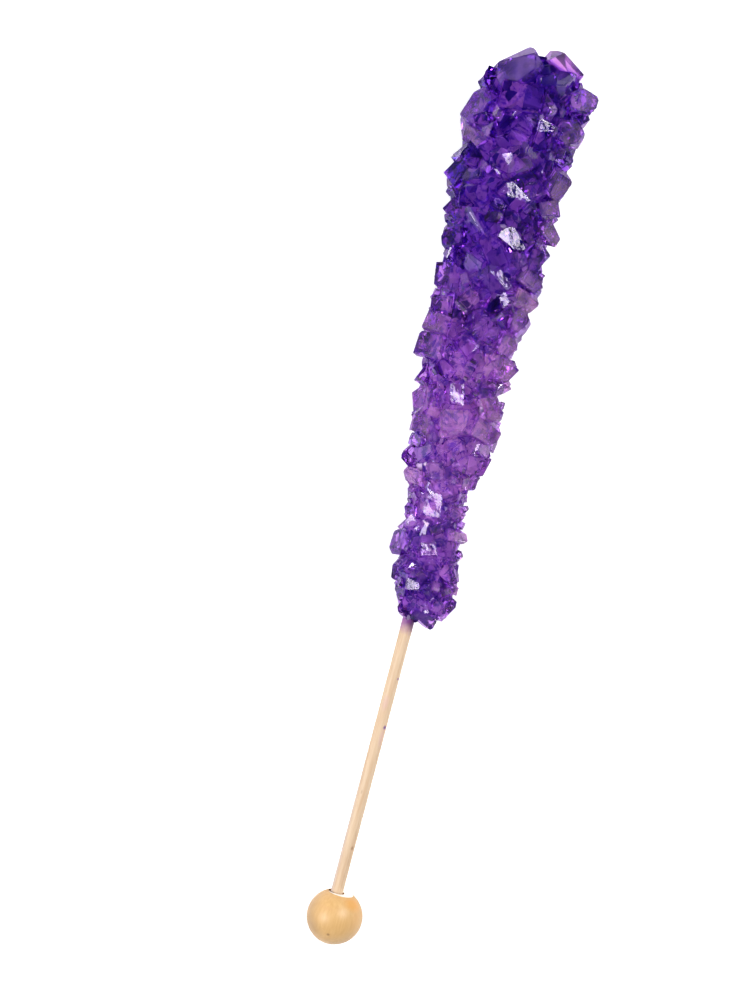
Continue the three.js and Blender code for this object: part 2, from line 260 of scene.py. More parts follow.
# ---- Colours ----
# A ramp lists positions and colours or greys. Along the candy, positions run from 0 at the dowel.
WHITE = (1.0, 1.0, 1.0)
CLEAR_TONES = [(0.0, (0.46, 0.33, 0.9)), (0.35, (0.76, 0.54, 0.96)), (1.0, (1.0, 0.76, 0.95))]
CLOUDY_TONES = [(0.0, (0.42, 0.33, 0.72)), (0.5, (0.62, 0.28, 0.9)), (1.0, (0.95, 0.48, 0.86))]
# Painted shade in the crevices: darker with depth under the outline.
CREVICE_SHADE_COLOURS = [(0.04, WHITE), (0.16, (0.52, 0.34, 0.88)), (0.34, (0.16, 0.05, 0.5))]
CREVICE_SHADE_FADING = [(0.08, 0.1), (0.25, 0.72), (0.47, 0.76), (0.61, 0.0)]  # along, share of white
# Painted shade for the crystals' worn edges, which draws dark lines along them.
WORN_EDGE_SHADE = (0.16, 0.04, 0.55)
SUGAR_IOR = 1.54
SUGAR_ABSORPTION = (0.55, 0.02, 0.87)
SUGAR_DENSITY = 110
FILM_IOR = 1.01
FILM_TINT = (0.93, 0.86, 0.97)
CORE_COLOURS = [  # along the candy
    (0.04, (0.7, 0.45, 0.85)),
    (0.2, (1.0, 0.78, 0.96)),
    (0.5, (1.0, 0.8, 1.0)),
    (0.64, (0.66, 0.5, 0.82)),
    (1.0, (0.88, 0.78, 0.82)),
]
# Each core crystal's own random tone; the spindle between them has none and takes the darkest:
# painted shade in the crevices.
CORE_TONES_AND_CREVICE_SHADE = [(0.0, (0.08, 0.05, 0.42)), (0.28, (0.42, 0.33, 0.8)), (0.5, WHITE)]
SHADE_FADING = [(0.05, 0.2), (0.25, 0.75), (0.5, 0.85), (0.72, 0.0)]  # along, share of white
CORE_PATCHES = [(0.38, (0.3, 0.24, 0.68)), (0.5, WHITE)]
STICK_PALE = (0.64, 0.48, 0.325)
STICK_DARK = (0.555, 0.372, 0.228)
STICK_SOAKED = (0.26, 0.07, 0.30)
SOAKED_REACH = (-1.9, 0.9)  # where the dye starts and is full, from the candy's lower end
SOAKED_RAGGED = 1.6  # how far its edge strays
BALL_PALE = (0.65, 0.405, 0.17)
BALL_DARK = (0.59, 0.345, 0.13)
# Fresh-cut wood of the sawn flat, painted near white as a painted highlight.
BALL_SAWN_AND_LIT = (0.93, 0.88, 0.78)
BALL_HEIGHTS = (-1.5, 4.0)  # between which the ball grows lighter: painted shade, darker low on its sides
BALL_SHADE_BY_HEIGHT = [(0.0, (0.72, 0.62, 0.48)), (0.5, (0.9, 0.86, 0.8)), (1.0, WHITE)]

# Marks on the wood: centre, reach along each axis, colour and strength. Two on the ball are painted
# shade.
MARK_MIDDLE = 0.35  # share of the reach in which a mark has its full strength
VIOLET = (0.10, 0.02, 0.22)
ROSE = (0.62, 0.36, 0.40)
BROWN = (0.22, 0.10, 0.04)
STICK_MARKS = [
    ((0.85, 37.6, 0.85), (0.45, 0.5, 0.6), VIOLET, 0.95),
    ((0.7, 35.6, 0.95), (0.6, 2.4, 0.8), ROSE, 0.35),
    ((0.94, 47.3, 0.75), (0.3, 0.35, 0.5), VIOLET, 0.7),
    ((-0.25, 42.3, 1.15), (0.8, 2.0, 0.8), ROSE, 0.3),
    ((0.7, 13.4, 0.97), (0.35, 0.5, 0.5), BROWN, 0.6),
    ((-0.3, 24.5, 1.15), (0.2, 0.6, 0.4), BROWN, 0.3),
    # This one greys and darkens the dowel's left side along most of its length.
    ((-1.5, 8.0, 0.3), (0.95, 34.0, 1.6), (0.50, 0.42, 0.44), 0.6),
]
BALL_MARKS_AND_SHADE = [
    ((0.36, -3.26, 4.2), (0.4, 0.35, 0.8), BROWN, 0.7),
    ((3.6, 3.2, 2.4), (2.4, 1.7, 2.6), (0.66, 0.31, 0.06), 0.85),
    ((4.6, 0.2, 2.4), (1.4, 3.2, 2.2), (0.66, 0.36, 0.13), 0.45),
    ((-1.2, 1.6, 4.1), (2.2, 0.5, 2.0), (0.60, 0.33, 0.16), 0.25),
    # These two are painted shade, darkening the ball's left and lower left side.
    ((-5.2, -0.5, 0.5), (4.4, 6.5, 5.0), (0.42, 0.25, 0.11), 0.7),
    ((-3.6, -3.3, 2.4), (3.4, 3.2, 3.6), (0.36, 0.21, 0.09), 0.6),
]

# ---- Stage, camera and lamps, in metres ----
CAMERA_HEIGHT = 0.45
FRAME_HEIGHT = 0.1922  # what the picture's height spans at the dowel
SENSOR_WIDTH = 36.0  # millimetres, as is the lens
CAMERA_TURN = math.radians(14.71)
AIM = Vector((-12.1, 79.5, 0))  # what lies at the picture's middle, in the stick's own frame
LAMP_TARGET = Vector((0, 90, 0))  # what the lamps' distance is measured from, in the same frame
LAMP_DISTANCE = 0.8
LAMPS = {  # direction (across, up the picture and towards the camera), side and radiance
    "softbox_left": ((-0.7, -0.05, 0.7), 0.45, 17),
    "softbox_right": ((0.56, 0.26, 0.79), 0.32, 36),
}
SOFTBOX_FADE = (0.15, 0.66)  # from the softbox's middle, in sides: full light to none
FLOOR_SIDE = 6.0
FLOOR_GREY = 0.9
FLOOR_GLOW = 0.42
HORIZON = (0.04, WHITE)  # the sky's colour up to a height from 0 to 1
OVERHEAD = (0.4, (0.03, 0.03, 0.035))  # its colour from a height up


# ---- Random numbers, the same on every run ----
class Draw:
    """The solid model's random numbers."""

    def __init__(self, seed):
        self.state = seed

    def random(self):
        self.state = self.state * 48271 % 2147483647
        return self.state / 2147483647

    def between(self, low, high):
        return low + (high - low) * self.random()


# ---- The candy's outline ----
def share_along(along):
    return (along - CANDY_BOTTOM) / (CANDY_TOP - CANDY_BOTTOM)


def between_stations(stations, along):
    """The stations' values at a place along the dowel, straight between the stations."""
    if along <= stations[0][0]:
        return stations[0][1:]
    for start, end in zip(stations, stations[1:]):
        if along <= end[0]:
            share = (along - start[0]) / (end[0] - start[0])
            return tuple(a + (b - a) * share for a, b in zip(start[1:], end[1:]))
    return stations[-1][1:]


def outline_at(along):
    """Radius and sidestep of the outline."""
    return between_stations(OUTLINE, along)


def radius_at(along):
    return outline_at(along)[0]


def sidestep_at(along):
    return outline_at(along)[1]


def slope_at(along):
    rise = radius_at(along + SLOPE_STEP) - radius_at(along - SLOPE_STEP)
    return rise / (2 * SLOPE_STEP)


# ---- Sugar crystals, by the solid model's rule ----
class Crystal:
    """A leaning block: its corners, lower ring then upper ring, its middle and its length.

    outward points away from the candy's middle, top is the upper face's normal, and look is the
    letter that the list gives it.
    """

    def __init__(self, corners, middle, long, outward, top):
        self.corners = [corner + middle for corner in corners]
        self.middle = middle
        self.long = long
        self.outward = outward
        self.top = top
        self.look = None

    def turn_by(self, rotation):
        self.corners = [rotation @ (corner - self.middle) + self.middle for corner in self.corners]
        self.top = rotation @ self.top


def crystal_corners(long, wide, thick, cut, lean):
    """A block's corners round its middle, with two opposite corners of its outline cut off."""
    outline = [
        (-long / 2, -wide / 2),
        (long / 2 - cut, -wide / 2),
        (long / 2, cut - wide / 2),
        (long / 2, wide / 2),
        (cut - long / 2, wide / 2),
        (-long / 2, wide / 2 - cut),
    ]
    if cut == 0:
        outline = [corner for index, corner in enumerate(outline) if index % 3 != 2]
    heights = (-thick / 2, thick / 2)
    return [Vector((x + lean * z, y, z)) for z in heights for x, y in outline]


def draw_block(draw, long, wide=None):
    """A block's length, width, thickness, cut and lean."""
    if wide is None:
        wide = long * draw.between(*WIDTH_SHARE)
    thick = long * draw.between(*THICKNESS_SHARE)
    cut = max(wide * draw.between(*CUT_SHARE), 0)
    lean = LEAN if draw.random() < 0.5 else -LEAN
    return long, wide, thick, cut, lean


def listed_crystal(draw, across, along, long, wide, turn, lift):
    """A crystal where the photo shows one."""
    block = draw_block(draw, long, wide)
    thick = block[2]
    reach_across = max(radius_at(along) - thick / 2, 1)
    sideways = min(max((across - sidestep_at(along)) / reach_across, -1), 1)
    around = math.asin(sideways)
    roll = Matrix.Rotation(around / 2 + draw.between(-LISTED_TILT, LISTED_TILT), 3, "Y")
    pitch = Matrix.Rotation(draw.between(-LISTED_TILT, LISTED_TILT), 3, "X")
    basis = roll @ pitch @ Matrix.Rotation(math.radians(turn), 3, "Z")
    corners = [basis @ corner for corner in crystal_corners(*block)]
    middle = Vector((across, along, reach_across * math.cos(around) + lift))
    outward = Vector((math.sin(around), 0, math.cos(around)))
    return Crystal(corners, middle, long, outward, basis @ Vector((0, 0, 1)))


def crystal_on_outline(block, basis, outward, along, around, height):
    """A crystal whose tip lies that height over the outline."""
    corners = [basis @ corner for corner in crystal_corners(*block)]
    reach = max(corner.dot(outward) for corner in corners)
    radius, sidestep = outline_at(along)
    tip = Vector((sidestep + radius * math.sin(around), along, radius * math.cos(around)))
    middle = tip + outward * (height - reach)
    return Crystal(corners, middle, block[0], outward, basis @ Vector((0, 0, 1)))


def typical_length(ends, along):
    """The typical length at a place, from the lengths at the thin and the thick end."""
    start, end = ends
    return start + (end - start) * share_along(along)


def spiral_places(draw, start, lengths, spacing_share):
    """Evenly spaced places over the outline.

    Each is its place along and around, outward, a basis on the outline and the typical length.
    """
    golden_angle = math.pi * (3 - math.sqrt(5))
    along = start
    count = 0
    while along < CANDY_TOP:
        typical = typical_length(lengths, along)
        slope = slope_at(along)
        around = count * golden_angle + draw.between(-AROUND_SPREAD, AROUND_SPREAD)
        outward = Vector((math.sin(around), -slope, math.cos(around))).normalized()
        beside = Vector((math.cos(around), 0, -math.sin(around)))
        basis = Matrix((beside, outward.cross(beside), outward)).transposed()
        yield along, around, outward, basis, typical
        spacing = typical * spacing_share
        arc = spacing * spacing / (2 * math.pi * max(radius_at(along), spacing / 2))
        along += arc / math.hypot(1, slope)
        count += 1


def turned(draw, basis):
    """The basis turned at random on the outline and tipped a little."""
    turn = Matrix.Rotation(draw.between(0, math.pi), 3, "Z")
    tip_long = Matrix.Rotation(draw.between(-TILT_LONG, TILT_LONG), 3, "X")
    tip_wide = Matrix.Rotation(draw.between(-TILT_WIDE, TILT_WIDE), 3, "Y")
    return basis @ turn @ tip_long @ tip_wide


def grow_large():
    """The solid model's crystals: the listed ones, then the rest on the spiral."""
    draw = Draw(SEED)
    listed = [listed_crystal(draw, *entry) for entry in LISTED_CRYSTALS]
    for crystal, look in zip(listed, LISTED_LOOKS):
        crystal.look = look
    grown = list(listed)
    start = CANDY_BOTTOM + CRYSTAL_LENGTHS[0] / 3
    places = spiral_places(draw, start, CRYSTAL_LENGTHS, SPACING_SHARE)
    for along, around, outward, basis, typical in places:
        basis = turned(draw, basis)
        block = draw_block(draw, typical * draw.between(*LENGTH_SPREAD))
        height = draw.between(*TIP_HEIGHT)
        crystal = crystal_on_outline(block, basis, outward, along, around, height)
        near = (
            (other.middle - crystal.middle).length < CROWDED_SHARE * (other.long + crystal.long)
            for other in listed
        )
        if not any(near):
            grown.append(crystal)
    return grown


def grow_small():
    """The small crystals between the large ones."""
    draw = Draw(SEED + 1)
    grown = []
    places = spiral_places(draw, CANDY_BOTTOM, SMALL_LENGTHS, SMALL_SPACING)
    for along, around, outward, basis, typical in places:
        basis = turned(draw, basis)
        block = draw_block(draw, typical * draw.between(*SMALL_SPREAD))
        height = typical * draw.between(*SMALL_HEIGHT)
        grown.append(crystal_on_outline(block, basis, outward, along, around, height))
    return grown


def grow_core():
    """The cloudy crystals of the core, well under the outline."""
    draw = Draw(SEED + 3)
    grown = []
    start = CANDY_BOTTOM + CORE_MARGINS[0]
    end = CANDY_TOP - CORE_MARGINS[1]
    places = spiral_places(draw, start, CORE_LENGTHS, CORE_SPACING)
    for along, around, outward, basis, typical in places:
        basis = turned(draw, basis)
        block = draw_block(draw, typical * draw.between(*SMALL_SPREAD))
        depth = radius_at(along) * draw.between(*CORE_DEPTH)
        if along < end:
            grown.append(crystal_on_outline(block, basis, outward, along, around, -depth))
    return grown


# ---- Placing pieces ----
def laid_matrix():
    """The stick's own frame, in metres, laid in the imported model's frame."""
    low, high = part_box("stick")
    tilt = Matrix.Rotation(LAID_TILT, 4, "X")
    middle_along = (BORE_END + GAP + STICK_LENGTH / 2) * math.cos(LAID_TILT) * MM
    height = BALL_DIAMETER / 2 - REST_FLAT_DEPTH - (tilt @ BALL_CENTRE).z
    place = Vector(((low.x + high.x) / 2, (low.y + high.y) / 2 - middle_along, height * MM))
    return Matrix.Translation(place) @ tilt


def add_piece(name, mesh, material, node, laid):
    """Puts a mesh in place of a node of the solid model."""
    piece = bpy.data.objects.new(name, mesh)
    bpy.context.scene.collection.objects.link(piece)
    mesh.materials.append(material)
    mesh.transform(Matrix.Scale(MM, 4))
    piece.matrix_world = laid
    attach(piece, "root")
    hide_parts(node)


# ---- Meshes ----
def block_mesh(crystal):
    """The bare block of a crystal."""
    block = bmesh.new()
    verts = [block.verts.new(corner) for corner in crystal.corners]
    ring = len(verts) // 2
    block.faces.new(verts[:ring][::-1])
    block.faces.new(verts[ring:])
    for i in range(ring):
        j = (i + 1) % ring
        block.faces.new((verts[i], verts[j], verts[ring + j], verts[ring + i]))
    return block


def cut_off(block, point, normal):
    """Removes what lies beyond a plane, and closes the cut with a flat face."""
    cut = bmesh.ops.bisect_plane(
        block,
        geom=[*block.verts, *block.edges, *block.faces],
        dist=1e-5,
        plane_co=point,
        plane_no=normal,
        clear_outer=True,
    )
    rim = [item for item in cut["geom_cut"] if isinstance(item, bmesh.types.BMEdge)]
    if rim:
        bmesh.ops.edgeloop_fill(block, edges=rim)


def chamfer_some(block, draw, crystal):
    """Extra narrow faces along a few of the block's edges, as sugar crystals have."""
    middles = [(edge.verts[0].co + edge.verts[1].co) / 2 for edge in block.edges]
    for middle in middles:
        if draw.random() < CHAMFER_CHANCE:
            away = (middle - crystal.middle).normalized()
            depth = away * crystal.long * draw.between(*CHAMFER_DEPTH)
            cut_off(block, middle - depth, away)


def add_terrace(block, draw, crystal):
    """A raised step on the face that shows most, as a crystal's last layer leaves."""
    block.normal_update()
    long = crystal.long
    facing = [face for face in block.faces if face.normal.dot(crystal.outward) > TERRACE_FACING]
    if not facing:
        return
    face = max(facing, key=lambda candidate: candidate.calc_area())
    if face.calc_area() < TERRACE_AREA * long * long:
        return
    inset = long * draw.between(*TERRACE_INSET)
    bmesh.ops.inset_individual(block, faces=[face], thickness=inset, depth=0)
    shift = face.verts[0].co - face.calc_center_median()
    shift *= draw.between(*TERRACE_SHIFT)
    for vert in face.verts:
        vert.co += shift
    slant = TERRACE_SLANT * long
    height = draw.between(*TERRACE_HEIGHT) * long
    bmesh.ops.inset_individual(block, faces=[face], thickness=slant, depth=height)


class Sight:
    """Where the camera and the lamps stand, in millimetres in the stick's own frame."""

    def __init__(self, laid):
        to_stick = laid.inverted()
        self.camera = to_stick @ camera_place(laid) / MM
        self.lamps = [
            to_stick @ lamp_place(laid, direction) / MM for direction, _, _ in LAMPS.values()
        ]

    def mirrors(self, place):
        """The normals with which a face at that place mirrors each lamp to the camera."""
        seen = (self.camera - place).normalized()
        return [(seen + (lamp - place).normalized()).normalized() for lamp in self.lamps]


def turn_from_lamps(crystal, sight):
    """Turns the crystal a little where its top face would mirror a lamp."""
    for mirror in sight.mirrors(crystal.middle):
        angle = crystal.top.angle(mirror)
        if angle < CLEARANCE:
            axis = mirror.cross(crystal.top)
            crystal.turn_by(Matrix.Rotation(CLEARANCE - angle, 3, axis))


def near_mirror(crystal, draw, sight):
    """Almost the normal that mirrors the lamp which the crystal's top face is turned to most."""
    mirror = min(sight.mirrors(crystal.middle), key=crystal.top.angle)
    aside = Vector((draw.between(-1, 1), draw.between(-1, 1), draw.between(-1, 1)))
    return (mirror + aside.cross(mirror).normalized() * BRIGHT_ASIDE).normalized()


def add_bright_face(block, crystal, draw, sight):
    """Cuts the crystal's edge back to a narrow face that mirrors a lamp."""
    mirror = near_mirror(crystal, draw, sight)
    reach = max(vert.co.dot(mirror) for vert in block.verts)
    depth = crystal.long * draw.between(*BRIGHT_DEPTH)
    cut_off(block, mirror * (reach - depth), mirror)


def cloud_and_tone(crystal, draw):
    """How cloudy a crystal is and how pink: more so towards the dowel, and to the right as painted
    light that makes that side paler.
    """
    along = crystal.middle.y
    lower = 1 - share_along(along)
    radius, sidestep = outline_at(along)
    aside = (crystal.middle.x - sidestep) / radius
    if crystal.look:
        cloud, tone = LOOKS[crystal.look]
    else:
        # Cloudier and pinker to the right is painted light.
        cloud = CLOUD_MOST * draw.random() ** CLOUD_POWER + max(PAINTED_LIGHT_CLOUD_RIGHT * aside, 0)
        tone = draw.random() + PAINTED_LIGHT_TONE_RIGHT * aside
    return cloud * (1 + CLOUD_LOWER * lower), min(max(tone + TONE_LOWER * lower, 0), 1)


def crystal_mesh(crystal, draw, sight, detailed):
    """One crystal with its worn edges, and where detailed its extra faces and its raised step."""
    if crystal.look is None:
        bright = draw.random() < BRIGHT_CHANCE
    else:
        bright = crystal.look in ("w", "W")
    if crystal.look == "W":
        mirror = near_mirror(crystal, draw, sight)
        crystal.turn_by(crystal.top.rotation_difference(mirror).to_matrix())
    elif detailed or not bright:
        turn_from_lamps(crystal, sight)
    block = block_mesh(crystal)
    if detailed:
        chamfer_some(block, draw, crystal)
        if bright and crystal.look != "W":
            add_bright_face(block, crystal, draw, sight)
        elif draw.random() < TERRACE_CHANCE:
            add_terrace(block, draw, crystal)
    cloud_layer = block.faces.layers.float.new("cloud")
    tone_layer = block.faces.layers.float.new("tone")
    edge_layer = block.faces.layers.float.new("edge")
    worn = bmesh.ops.bevel(
        block,
        geom=list(block.edges),
        offset=crystal.long * draw.between(*EDGE_SHARE),
        segments=2 if detailed else 1,
        affect="EDGES",
        clamp_overlap=True,
    )
    cloud, tone = cloud_and_tone(crystal, draw)
    for face in block.faces:
        face[cloud_layer] = cloud
        face[tone_layer] = tone
    # The worn edges are marked for the painted shade that the material puts on them.
    for face in worn["faces"]:
        face[edge_layer] = 1
    mesh = bpy.data.meshes.new("crystal")
    block.to_mesh(mesh)
    block.free()
    return mesh


def core_crystal_mesh(crystal, draw):
    """One bare crystal of the core, with a shade of its own from 0 to 1."""
    block = block_mesh(crystal)
    shade_layer = block.faces.layers.float.new("shade")
    shade = draw.random()
    for face in block.faces:
        face[shade_layer] = shade
    mesh = bpy.data.meshes.new("core_crystal")
    block.to_mesh(mesh)
    block.free()
    return mesh


def mark_depth(mesh):
    """Each corner's depth under the candy's outline, as a share of the outline's radius."""
    depths = []
    for vert in mesh.vertices:
        radius, sidestep = outline_at(vert.co.y)
        away = math.hypot(vert.co.x - sidestep, vert.co.z)
        depths.append(1 - away / radius)
    attribute = mesh.attributes.new("depth", "FLOAT", "POINT")
    attribute.data.foreach_set("value", depths)


def combine(name, base, joined, cutters):
    """One closed mesh: the base with some meshes joined to it and others cut away."""
    scene = bpy.context.scene
    whole = bpy.data.objects.new(name, base)
    scene.collection.objects.link(whole)
    groups = []
    for operation, meshes in (("UNION", joined), ("DIFFERENCE", cutters)):
        if not meshes:
            continue
        group = bpy.data.collections.new(operation)
        scene.collection.children.link(group)
        for mesh in meshes:
            group.objects.link(bpy.data.objects.new(mesh.name, mesh))
        step = whole.modifiers.new(operation, "BOOLEAN")
        step.operation = operation
        step.operand_type = "COLLECTION"
        step.collection = group
        step.solver = "MANIFOLD"
        groups.append(group)
    evaluated = whole.evaluated_get(bpy.context.evaluated_depsgraph_get())
    combined = bpy.data.meshes.new_from_object(evaluated)
    for group in groups:
        for item in list(group.objects):
            bpy.data.objects.remove(item)
        bpy.data.collections.remove(group)
    bpy.data.objects.remove(whole)
    combined.materials.clear()
    combined.polygons.foreach_set("material_index", [0] * len(combined.polygons))
    return combined


def keep_largest_part(mesh):
    """Drops the crystals that touch nothing, and the walls of closed pores."""
    whole = bmesh.new()
    whole.from_mesh(mesh)
    parts = []
    seen = set()
    for first in whole.verts:
        if first in seen:
            continue
        seen.add(first)
        part = [first]
        for vert in part:
            for edge in vert.link_edges:
                other = edge.other_vert(vert)
                if other not in seen:
                    seen.add(other)
                    part.append(other)
        parts.append(part)
    largest = max(parts, key=len)
    dropped = [vert for part in parts if part is not largest for vert in part]
    bmesh.ops.delete(whole, geom=dropped, context="VERTS")
    whole.to_mesh(mesh)
    whole.free()


def lathe_mesh(name, profile, segments, smooth=True):
    """Turns (radius, along) points round the Y axis. The profile starts and ends on the axis."""
    mesh = bpy.data.meshes.new(name)
    verts, faces, rings = [], [], []
    for radius, along in profile:
        if radius == 0:
            rings.append([len(verts)])
            verts.append((0, along, 0))
        else:
            rings.append(list(range(len(verts), len(verts) + segments)))
            for i in range(segments):
                angle = 2 * math.pi * i / segments
                verts.append((radius * math.sin(angle), along, radius * math.cos(angle)))
    for lower, upper in zip(rings, rings[1:]):
        for i in range(segments):
            j = (i + 1) % segments
            if len(lower) == 1:
                faces.append((lower[0], upper[j], upper[i]))
            elif len(upper) == 1:
                faces.append((lower[i], lower[j], upper[0]))
            else:
                faces.append((lower[i], lower[j], upper[j], upper[i]))
    mesh.from_pydata(verts, [], faces)
    mesh.validate()
    if smooth:
        mesh.shade_smooth()
    return mesh


def floor_mesh(laid):
    """A block whose top is the plane on which the stick lies."""
    block = bmesh.new()
    bmesh.ops.create_cube(block, size=1)
    to_stick = laid.inverted()
    wide, long, deep = FLOOR_BLOCK
    for vert in block.verts:
        place = Vector((vert.co.x * wide, vert.co.y * long, vert.co.z * deep - deep / 2))
        vert.co = (to_stick @ place) / MM
    mesh = bpy.data.meshes.new("floor_block")
    block.to_mesh(mesh)
    block.free()
    return mesh


def spindle_mesh(shares):
    """A bowed spindle inside the candy's outline."""
    start = CANDY_BOTTOM + SPINDLE_MARGINS[0]
    end = CANDY_TOP - SPINDLE_MARGINS[1]
    thinnest = STICK_DIAMETER / 2 + SPINDLE_WALL
    profile = [(0, start)]
    for ring in range(SPINDLE_RINGS + 1):
        along = start + (end - start) * ring / SPINDLE_RINGS
        share = between_stations(shares, along)[0]
        profile.append((max(radius_at(along) * share, thinnest), along))
    profile.append((0, end))
    mesh = lathe_mesh("spindle", profile, SPINDLE_SEGMENTS, smooth=False)
    for vert in mesh.vertices:
        vert.co.x += sidestep_at(vert.co.y)
    return mesh


def stick_mesh():
    """The dowel, bevelled at its ends and a little uneven along its length."""
    radius = STICK_DIAMETER / 2
    edge = STICK_EDGE
    wave, pace = STICK_WAVE
    start = BORE_END + GAP
    end = start + STICK_LENGTH
    profile = [(0, start), (radius - edge, start), (radius, start + edge)]
    for ring in range(1, STICK_RINGS):
        along = start + edge + (end - start - 2 * edge) * ring / STICK_RINGS
        profile.append((radius * (1 + wave * math.sin(along * pace)), along))
    profile += [(radius, end - edge), (radius - edge, end), (0, end)]
    return lathe_mesh("dowel", profile, STICK_SEGMENTS)


def ball_mesh(floor):
    """The ball, sawn flat round the mouth of its bore."""
    radius = BALL_DIAMETER / 2
    mouth = MOUTH_DIAMETER / 2
    mouth_angle = math.asin(mouth / radius)
    flat = radius * math.cos(mouth_angle)
    profile = [(0, flat)] + [(mouth - inset, flat - drop) for inset, drop in MOUTH_RIM]
    start = mouth_angle + MOUTH_RIM_ANGLE
    for ring in range(BALL_RINGS):
        angle = start + (math.pi - start) * ring / BALL_RINGS
        profile.append((radius * math.sin(angle), radius * math.cos(angle)))
    profile.append((0, -radius))
    ball = lathe_mesh("ball", profile[::-1], BALL_SEGMENTS)
    ball.transform(Matrix.Translation(BALL_CENTRE) @ Matrix.Rotation(MOUTH_TURN, 4, "X"))
    bore_radius = BORE_DIAMETER / 2
    above = radius * 2
    bore_profile = [(0, BORE_END), (bore_radius, BORE_END), (bore_radius, above), (0, above)]
    bore = lathe_mesh("bore", bore_profile, BORE_SEGMENTS)
    bore.transform(Matrix.Translation((BORE_SIDESTEP, 0, 0)))
    drilled = combine("wooden_ball", ball, [], [bore, floor])
    drilled.set_sharp_from_angle(angle=BALL_SHARP_ANGLE)
    return drilled


# ---- Materials ----
class Nodes:
    """A material's node tree, with short calls to add and link nodes."""

    def __init__(self, name):
        self.material = bpy.data.materials.new(name)
        self.material.use_nodes = True
        self.tree = self.material.node_tree
        self.shader = self.tree.nodes["Principled BSDF"]
        self.output = self.tree.nodes["Material Output"]

    def add(self, kind, **settings):
        node = self.tree.nodes.new(kind)
        for key, value in settings.items():
            setattr(node, key, value)
        return node

    def link(self, output, target):
        self.tree.links.new(output, target)

    def coordinates(self):
        """Object coordinates in millimetres, in the stick's own frame."""
        place = self.add("ShaderNodeTexCoord")
        scale = self.add("ShaderNodeVectorMath", operation="SCALE")
        scale.inputs["Scale"].default_value = 1 / MM
        self.link(place.outputs["Object"], scale.inputs[0])
        return scale.outputs[0]

    def attribute(self, name):
        """A number that the mesh carries."""
        return self.add("ShaderNodeAttribute", attribute_name=name).outputs["Fac"]

    def noise(self, vector, scale, detail=3.0, roughness=0.5):
        node = self.add("ShaderNodeTexNoise")
        node.inputs["Scale"].default_value = scale
        node.inputs["Detail"].default_value = detail
        node.inputs["Roughness"].default_value = roughness
        self.link(vector, node.inputs["Vector"])
        return node.outputs["Fac"]

    def ramp(self, value, stops):
        node = self.add("ShaderNodeValToRGB")
        ramp = node.color_ramp
        while len(ramp.elements) < len(stops):
            ramp.elements.new(0.5)
        for element, (position, colour) in zip(ramp.elements, stops):
            element.position = position
            element.color = (*colour, 1)
        self.link(value, node.inputs["Fac"])
        return node.outputs["Color"]

    def grey_ramp(self, value, stops):
        return self.ramp(value, [(position, (grey,) * 3) for position, grey in stops])

    def mix(self, factor, a, b, blend="MIX"):
        """Mixes two colours; each of the three is a socket or a constant."""
        node = self.add("ShaderNodeMix", data_type="RGBA", blend_type=blend)
        for value, socket in ((factor, node.inputs[0]), (a, node.inputs[6]), (b, node.inputs[7])):
            if isinstance(value, (int, float)):
                socket.default_value = value
            elif isinstance(value, tuple):
                socket.default_value = (*value, 1)
            else:
                self.link(value, socket)
        return node.outputs[2]

    def tint(self, a, b):
        return self.mix(1.0, a, b, "MULTIPLY")

    def axis(self, vector, index):
        node = self.add("ShaderNodeSeparateXYZ")
        self.link(vector, node.inputs[0])
        return node.outputs[index]

    def math(self, operation, a, b):
        node = self.add("ShaderNodeMath", operation=operation)
        self.link(a, node.inputs[0])
        self.link(b, node.inputs[1])
        return node.outputs[0]

    def map_range(self, value, source, target=(0.0, 1.0)):
        """The value carried from one range of numbers to another, and held inside it."""
        node = self.add("ShaderNodeMapRange")
        node.inputs["From Min"].default_value = source[0]
        node.inputs["From Max"].default_value = source[1]
        node.inputs["To Min"].default_value = target[0]
        node.inputs["To Max"].default_value = target[1]
        self.link(value, node.inputs["Value"])
        return node.outputs["Result"]

    def along_candy(self, place):
        """The place along the candy, from 0 at the dowel to 1."""
        return self.map_range(self.axis(place, 1), (CANDY_BOTTOM, CANDY_TOP))

    def bump(self, height, strength, distance):
        node = self.add("ShaderNodeBump")
        node.inputs["Strength"].default_value = strength
        node.inputs["Distance"].default_value = distance * MM
        self.link(height, node.inputs["Height"])
        self.link(node.outputs["Normal"], self.shader.inputs["Normal"])


